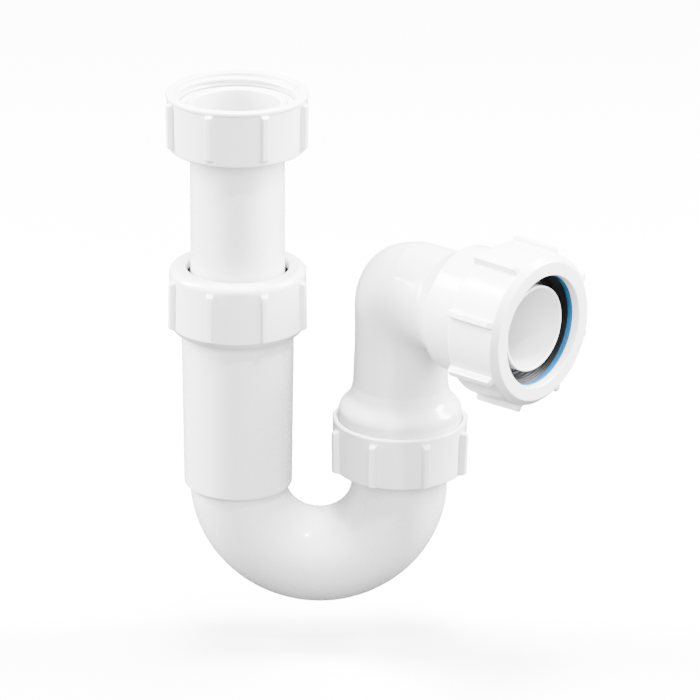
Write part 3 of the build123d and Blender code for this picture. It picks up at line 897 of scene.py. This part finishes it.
@dataclass
class OutletElbow:
    """The elbow, and the nut, ring and rubber that seal the waste pipe.

    Heights of the leg and distances along the arm are measured from where the two
    axes cross.
    """

    leg_r: float = 18.1
    foot_r: float = 18.65
    arm_r: float = 20.0
    bore_r: float = 15.7
    turn_r: float = 5.5
    crotch_round: float = 3.5
    turn_steps: int = 40
    foot: float = 14.9 - 81.45
    bell_low: float = 25.9 - 81.45
    bell_r: float = 24.2
    thread_r: float = 23.9
    socket_r: float = 24.85
    socket_mouth: float = 61.0
    socket_floor: float = 38.0
    pipe_r: float = 21.9
    stub_r: float = 16.7
    stub_end: float = 65.65
    outlet_thread_r: float = 26.6
    seat_r: float = 24.7
    nut_face: float = 70.1
    nut_height: float = 23.15
    nut_r: float = 29.8
    hole_r: float = 21.8
    nut_bore_r: float = 26.9
    lip: float = 3.4
    thread_length: float = 12.5
    chamfer: float = 0.6
    seat_depth: float = 4.0
    ring_r: float = 26.5
    ring_back: float = 64.6
    ring_front: float = 66.6
    angles: list[float] = field(default_factory=lambda: round_angles(OUTLET_SIDES))

    def nut(self) -> CouplingNut:
        """Describe the outlet nut.

        Returns:
            The nut, ready to build.
        """
        height = self.nut_height
        corners = [
            (self.hole_r, 0.0, 0.4),
            (27.0, 0.0, 0.8),
            (self.nut_r - 0.4, 2.3, 0.9),
            (self.nut_r, height - 1.2, 0.4),
            (self.nut_r - 1.0, height, 0.5),
            (self.nut_bore_r, height, 0.3),
            (self.nut_bore_r, self.lip, 0.3),
            (self.hole_r, self.lip, 0.2),
        ]
        place = OUTLET_PLACE @ Matrix.Translation((0, 0, self.nut_face)) @ TURNED_OVER
        return CouplingNut(
            "outlet_nut", self.nut_r, corners, rib_rise=2.6, rib_low=3.0, rib_high=height - 0.6,
            rib_turn=math.radians(-26), place=place, rib_end=0.6,
        )

    def _leg_ring(self, radius: float, height: float) -> Ring:
        """Place a ring round the leg.

        Args:
            radius: Its radius.
            height: Its height.

        Returns:
            The ring's points.
        """
        return [Vector((-radius * math.cos(a), radius * math.sin(a), height)) for a in self.angles]

    def _arm_ring(self, radius: float, along: float) -> Ring:
        """Place a ring round the arm.

        Args:
            radius: Its radius.
            along: Its distance along the arm.

        Returns:
            The ring's points.
        """
        return [Vector((along, radius * math.sin(a), radius * math.cos(a))) for a in self.angles]

    def _reach(self, swing: float, side_r: float) -> float:
        """Measure from the crotch's centre to the outside of the turn.

        Args:
            swing: Angle round the crotch's centre, from the leg.
            side_r: The turn's half width there.

        Returns:
            The distance along that direction.
        """
        across, up = -math.cos(swing), math.sin(swing)
        x, z = self.leg_r + self.crotch_round, -(self.arm_r + self.crotch_round)
        to_side = (x + self.leg_r) / max(-across, 1e-9)
        to_top = (self.arm_r - z) / max(up, 1e-9)
        if z + to_side * up <= -self.turn_r:
            return to_side
        if x + to_top * across >= self.turn_r:
            return to_top
        from_x, from_z = x - self.turn_r, z + self.turn_r
        along = from_x * across + from_z * up
        apart = from_x**2 + from_z**2 - (self.turn_r + side_r) ** 2
        return math.sqrt(along**2 - apart) - along

    def _turn_ring(self, share: float, bore: bool) -> Ring:
        """Place an oval of the turn.

        Args:
            share: How far round the turn, 0 at the leg and 1 at the arm.
            bore: Whether it belongs to the waterway and not to the outside.

        Returns:
            The oval's points.
        """
        swing = share * math.pi / 2
        side = self.leg_r + (self.arm_r - self.leg_r) * share**2
        near, far = self.crotch_round, self._reach(swing, side)
        if bore:
            leg_wall, arm_wall = self.leg_r - self.bore_r, self.arm_r - self.bore_r
            wall = leg_wall + (arm_wall - leg_wall) * share
            near, far, side = near + wall, far - wall, self.bore_r
        outward = Vector((-math.cos(swing), 0, math.sin(swing)))
        centre = Vector((self.leg_r + self.crotch_round, 0, -(self.arm_r + self.crotch_round)))
        centre += outward * (near + far) / 2
        half = (far - near) / 2
        across = Vector((0, side, 0))
        return [
            centre + outward * (half * math.cos(a)) + across * math.sin(a) for a in self.angles
        ]

    def elbow(self) -> bpy.types.Object:
        """Skin the elbow: outside from foot to socket mouth, then the bore back.

        Returns:
            The elbow.
        """
        turn_low = -(self.arm_r + self.crotch_round)
        arm_start = self.leg_r + self.crotch_round
        thread_start = self.socket_mouth - self.thread_length
        leg = Outline([
            (self.bore_r + 1.5, self.foot), (self.thread_r - 0.5, self.foot, 0.2),
            (self.thread_r, self.foot + 0.5, 0.2), (self.thread_r, self.bell_low, 0.1),
            (self.bell_r, self.bell_low, 0.1), (self.bell_r, self.bell_low + 6.9, 5.2),
            (19.9, self.bell_low + 11.3, 6.5), (self.foot_r, self.bell_low + 16.1, 6.0),
            (self.leg_r, turn_low),
        ], step=1.5, closed=False, arc_step=math.radians(5)).points()
        arm = Outline([
            (self.arm_r, arm_start), (self.arm_r, 24.5, 9.0),
            (22.6, 30.1, 0.4), (self.socket_r, 31.9, 0.9),
            (self.socket_r, thread_start, 0.2), (self.outlet_thread_r, thread_start + 0.8, 0.2),
            (self.outlet_thread_r, self.socket_mouth - self.chamfer, 0.2),
            (self.outlet_thread_r - self.chamfer, self.socket_mouth, 0.2),
            (self.seat_r, self.socket_mouth, 0.2),
            (self.pipe_r, self.socket_mouth - self.seat_depth, 0.3),
            (self.pipe_r, self.socket_floor, 0.3),
            (self.stub_r, self.socket_floor, 0.3), (self.stub_r, self.stub_end, 0.35),
            (self.bore_r, self.stub_end, 0.35), (self.bore_r, arm_start),
        ], step=3.0, closed=False, arc_step=math.radians(10)).points()
        shares = [k / self.turn_steps for k in range(1, self.turn_steps)]
        rings = [self._leg_ring(r, h) for r, h in leg]
        rings += [self._turn_ring(share, bore=False) for share in shares]
        rings += [self._arm_ring(r, x) for r, x in arm]
        rings += [self._turn_ring(share, bore=True) for share in reversed(shares)]
        rings += [self._leg_ring(self.bore_r, h) for h in (turn_low, self.foot + 0.3)]
        placed = [[ELBOW_PLACE @ point for point in ring] for ring in rings]
        return mesh_from_rings("outlet_elbow_moulding", placed)

    def slip_ring(self) -> bpy.types.Object:
        """Turn the blue slip ring behind the nut's lip.

        Returns:
            The ring.
        """
        inner_r = self.hole_r - 0.25
        corners = [(inner_r, self.ring_back, 0.25), (self.ring_r, self.ring_back, 0.2),
                   (self.ring_r, self.ring_front, 0.2), (inner_r, self.ring_front, 0.25)]
        outline = Outline(corners).points()
        return turned("outlet_slip_ring_blue", outline, self.angles, OUTLET_PLACE)

    def seal(self) -> bpy.types.Object:
        """Turn the black rubber with its lips.

        Returns:
            The seal.
        """
        corners = [
            (21.8, 57.0, 0.2), (24.6, 61.0, 0.3), (24.6, 64.5, 0.3), (self.hole_r, 64.5, 0.3),
            (21.2, 63.9, 0.2), (21.5, 63.4, 0.15), (20.9, 62.9, 0.2), (21.2, 62.4, 0.15),
            (20.6, 61.9, 0.2), (20.9, 61.3, 0.15), (20.2, 60.6, 0.3), (20.7, 59.9, 0.2),
            (19.8, 59.0, 0.3), (20.1, 58.4, 0.2), (18.9, 57.6, 0.3), (19.4, 56.7, 0.2),
            (20.9, 57.6, 0.3),
        ]
        outline = Outline(corners).points()
        return turned("outlet_seal_rubber", outline, self.angles, OUTLET_PLACE)


@dataclass(frozen=True)
class Panel:
    """One soft light panel of the studio, in metres, watts and degrees."""

    name: str
    at: tuple[float, float, float]
    size: tuple[float, float]
    power: float
    aim_at: tuple[float, float, float] = (0.04, 0.0, -0.1)
    spread: float = 180.0
    mirrored: bool = True

    def hang(self) -> None:
        """Hang the panel where it belongs, facing its aim."""
        lamp = bpy.data.lights.new(self.name, "AREA")
        lamp.shape = "RECTANGLE"
        lamp.size, lamp.size_y = self.size
        lamp.energy = self.power
        lamp.spread = math.radians(self.spread)
        holder = bpy.data.objects.new(self.name, lamp)
        holder.visible_glossy = self.mirrored
        bpy.context.scene.collection.objects.link(holder)
        place = Vector(self.at)
        aim = (Vector(self.aim_at) - place).to_track_quat("-Z", "Y").to_matrix().to_4x4()
        holder.matrix_world = Matrix.Translation(place) @ aim


PANELS = (
    Panel("left", (-1.1, 0.12, 0.62), (0.36, 1.1), 200.0),
    Panel("right", (1.1, 0.20, 0.66), (0.36, 1.1), 185.0),
    Panel("back", (0.1, 0.9, 1.2), (2.4, 0.9), 2.0),
    Panel("top", (0.05, 0.55, 1.2), (2.2, 1.4), 68.0, (0.05, 0.55, 0.0), 25.0, mirrored=False),
    Panel("key", (0.383, -0.554, 0.954), (0.055, 0.055), 20.0),
    Panel("front", (0.15, -1.35, 0.6), (1.8, 1.0), 80.0, mirrored=False),
)


@dataclass
class Studio:
    """Floor, lights and the camera at the photograph's angle, in millimetres."""

    floor_z: float = -224.0
    camera_at: tuple[float, float, float] = (63.95, -1438.68, 464.80)
    camera_looks_at: tuple[float, float, float] = (43.75, 0.0, -100.66)
    camera_roll: float = math.radians(0.487)
    lens_mm: float = 203.78
    sensor_mm: float = 36.0
    floor_half_m: float = 6.0
    surround: float = 0.6

    def floor(self, finish: bpy.types.Material) -> None:
        """Lay a plain pale floor, lower than the telescope lets the bend down.

        It neither lights the plastic nor shows in it, so that the undersides keep
        their shade.

        Args:
            finish: The floor's material.
        """
        half, z = self.floor_half_m, self.floor_z * MM
        corners = [(-half, -half, z), (half, -half, z), (half, half, z), (-half, half, z)]
        mesh = bpy.data.meshes.new("floor")
        mesh.from_pydata(corners, [], [(0, 1, 2, 3)])
        plane = bpy.data.objects.new("floor", mesh)
        bpy.context.scene.collection.objects.link(plane)
        shade(finish, plane)
        plane.visible_glossy = False
        plane.visible_diffuse = False

    def camera(self) -> None:
        """Set up the camera."""
        lens = bpy.data.cameras.new("camera")
        lens.lens = self.lens_mm
        lens.sensor_width = self.sensor_mm
        lens.clip_start = 0.05
        lens.clip_end = 50.0
        view = bpy.data.objects.new("camera", lens)
        bpy.context.scene.collection.objects.link(view)
        place, target = Vector(self.camera_at) * MM, Vector(self.camera_looks_at) * MM
        aim = (target - place).to_track_quat("-Z", "Y").to_matrix().to_4x4()
        roll = Matrix.Rotation(self.camera_roll, 4, "Z")
        view.matrix_world = Matrix.Translation(place) @ aim @ roll
        bpy.context.scene.camera = view

    def lights(self) -> None:
        """Hang the soft panels and set the grey surround."""
        world = bpy.data.worlds.new("studio")
        world.use_nodes = True
        surround = world.node_tree.nodes["Background"].inputs
        surround["Color"].default_value = (1, 1, 1, 1)
        surround["Strength"].default_value = self.surround
        bpy.context.scene.world = world
        for panel in PANELS:
            panel.hang()


def dress_hidden(materials: dict[str, bpy.types.Material]) -> None:
    """Give the CAD nodes that keep their mesh a finished material.

    Args:
        materials: The finishes by node.
    """
    for node, material in materials.items():
        shade(material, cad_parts[node])
        LOG.info("dressed %s", node)


def settle(
    piece: bpy.types.Object, node: str, body: str, material: bpy.types.Material
) -> None:
    """Put a finished piece in its node's place.

    Args:
        piece: The piece.
        node: The CAD node that it stands for.
        body: The body that it rides on.
        material: Its finish.
    """
    shade(material, piece)
    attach(piece, body)
    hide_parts(node)
    LOG.info("%s: %d faces, rides on %s", piece.name, len(piece.data.polygons), body)


def main() -> None:
    """Build every sub-assembly in order and set up the studio."""
    logging.basicConfig(level=logging.INFO, format="%(name)s: %(message)s")
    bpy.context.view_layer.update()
    white, drawn = WHITE_MOULDING.material(), TUBE_WALL.material()
    # ring is the compression slip ring's near-black material, painted shade for the gap under the
    # compression nut's lip.
    washer, ring = SOFT_WASHER.material(), SLIP_RING_PAINTED_SHADE.material()
    blue, rubber = BLUE_RING.material(), BLACK_RUBBER.material()
    tree = nut_tree()
    inlet, joint, swivel, outlet = InletCoupling(), CompressionJoint(), SwivelBend(), OutletElbow()
    for nut in (inlet.nut(), joint.nut(), swivel.nut(), outlet.nut()):
        settle(nut.build(tree, white), nut.node, nut.node, white)
    settle(inlet.tube(), "inlet_tube", "inlet_tube", drawn)
    settle(inlet.washer(), "inlet_washer", "inlet_tube", washer)
    settle(joint.sleeve(), "inlet_sleeve", "trap_body", drawn)
    settle(swivel.bend(), "u_bend", "trap_body", drawn)
    settle(outlet.elbow(), "outlet_elbow", "outlet_elbow", white)
    settle(outlet.slip_ring(), "outlet_slip_ring", "outlet_slip_ring", blue)
    settle(outlet.seal(), "outlet_seal", "outlet_elbow", rubber)
    dress_hidden({
        "compression_seal": rubber,
        "swivel_seal": rubber,
        # The compression slip ring gets the near-black painted-shade material.
        "compression_slip_ring": ring,
    })
    studio = Studio()
    studio.floor(PALE_FLOOR.material())
    studio.camera()
    studio.lights()


if __name__ == "__main__":
    main()
